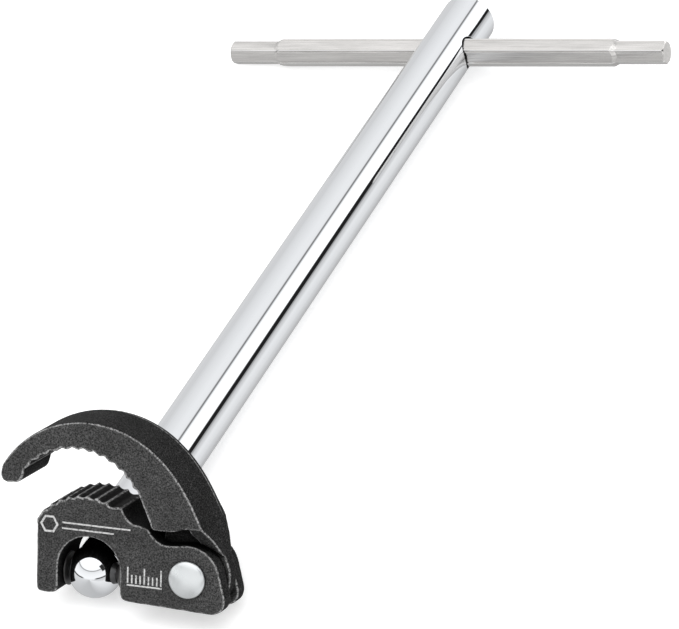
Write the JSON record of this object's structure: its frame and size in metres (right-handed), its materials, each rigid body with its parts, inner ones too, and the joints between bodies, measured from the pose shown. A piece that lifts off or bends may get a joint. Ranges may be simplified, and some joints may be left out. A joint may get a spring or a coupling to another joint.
{
  "type": "basin wrench",
  "caption": "Basin wrench: toothed hook and heel jaws on a swivelling head, a long round tube and a sliding T-bar with stepped hexagonal ends.",
  "frame": {"origin": "middle of the plug's outer face in the tube's far end, on the shaft's axis", "axes": "+Y out of the tube's far end, so the jaws are at -Y; +Z towards the side that the hook jaw stands on; +X towards the jaw rivet"},
  "size_m": [0.1392, 0.2825, 0.0534],
  "materials": {
    "tube_chrome": "bright polished chrome plate",
    "jaw_black": "fine grained black coating on cast jaws, edges rubbed bright",
    "rivet_steel": "satin plated rivet",
    "bar_steel": "drawn bright bar, brushed along its length",
    "pin_steel": "hardened steel with a dark grey temper",
    "plug_plastic": "moulded black plug"
  },
  "bodies": {
    "shaft": {"shaft_tube": "tube_chrome", "knuckle": "tube_chrome", "knuckle_roll_pin": "pin_steel", "end_plug": "plug_plastic", "detent_ball": "pin_steel", "detent_spring": "pin_steel"},
    "head": {"heel_jaw": "jaw_black", "swivel_pin": "pin_steel", "swivel_washer": "pin_steel", "swivel_disc_spring": "pin_steel", "jaw_rivet": "rivet_steel", "jaw_spring": "pin_steel"},
    "hook": {"hook_jaw": "jaw_black"},
    "handle": {"t_bar": "bar_steel"}
  },
  "joints": [
    {"name": "head_swivel", "type": "hinge", "parent": "shaft", "child": "head", "pos_m": [0, -0.2724, 0], "axis": [0.9981, 0.061, 0], "range_deg": [-1, 228]},
    {"name": "hook_pivot", "type": "hinge", "parent": "head", "child": "hook", "pos_m": [0.02768, -0.26958, 0.00257], "axis": [-0.0559, 0.9147, -0.4003], "range_deg": [-6, 38]},
    {"name": "bar_slide", "type": "slide", "parent": "shaft", "child": "handle", "axis": [0.9917, 0, 0.1288], "range_m": [-0.045, 0.045]}
  ]
}
